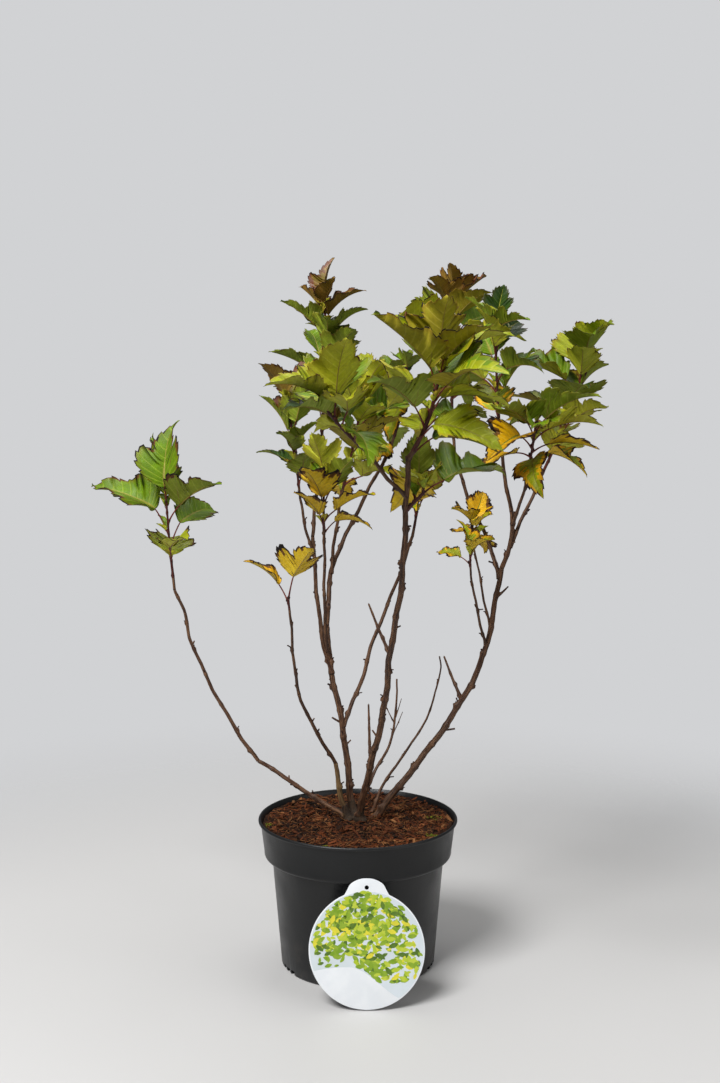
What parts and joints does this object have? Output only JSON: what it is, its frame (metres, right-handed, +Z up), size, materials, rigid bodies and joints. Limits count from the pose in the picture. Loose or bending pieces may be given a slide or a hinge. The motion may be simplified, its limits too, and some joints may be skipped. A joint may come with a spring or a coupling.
{
  "type": "potted ninebark shrub",
  "caption": "Young open ninebark shrub with lobed yellow-green leaves on slender brown stems, in a round black nursery pot with a plain hang label.",
  "frame": {"origin": "middle of the pot's flat underside", "axes": "+Z up along the pot's axis; -Y towards the front, where the label leans; +X to the right as seen from the front"},
  "size_m": [0.4753, 0.4221, 0.6675],
  "materials": {
    "pot": "satin black, lightly scuffed",
    "potting_mix": "loose bark and peat fibre",
    "label": "smooth printed card",
    "bark": "smooth brown young bark",
    "old_bark": "rough bark with a green film",
    "foliage": "soft satin leaf",
    "autumn_foliage": "golden leaf with brown edges"
  },
  "bodies": {
    "root": {"pot": "pot", "potting_mix": "potting_mix", "label": "label", "crown_foot": "old_bark", "main_left_stem": "bark", "old_left_stem": "old_bark", "front_stem": "bark", "low_left_foot": "bark", "low_left_rise": "bark", "short_left_twig": "bark", "tall_left_lower": "bark", "tall_left_stem": "bark", "side_left_stem": "bark", "mid_left_stem": "bark", "centre_back_stem": "bark", "inner_stem": "bark", "crossing_stem": "bark", "front_left_fork": "bark", "right_stem": "bark", "right_upper_stem": "bark", "right_front_fork": "bark", "right_outer_stem": "bark", "right_back_stem": "bark", "yellow_leaf_twig": "bark", "slender_right_twig": "bark", "bare_front_twig": "bark", "bare_right_twig": "bark", "low_left_leaves": "foliage", "two_leaf_tip": "autumn_foliage", "tall_left_leaves": "foliage", "side_left_leaves": "foliage", "mid_left_leaves": "foliage", "inner_leaves": "foliage", "centre_back_leaves": "foliage", "crossing_leaves": "foliage", "front_low_leaves": "foliage", "front_left_leaves": "foliage", "front_right_leaves": "foliage", "right_tall_leaves": "foliage", "right_front_leaves": "foliage", "right_outer_leaves": "foliage", "right_back_leaves": "foliage", "yellow_twig_leaves": "autumn_foliage", "slender_twig_leaves": "autumn_foliage"}
  },
  "joints": []
}
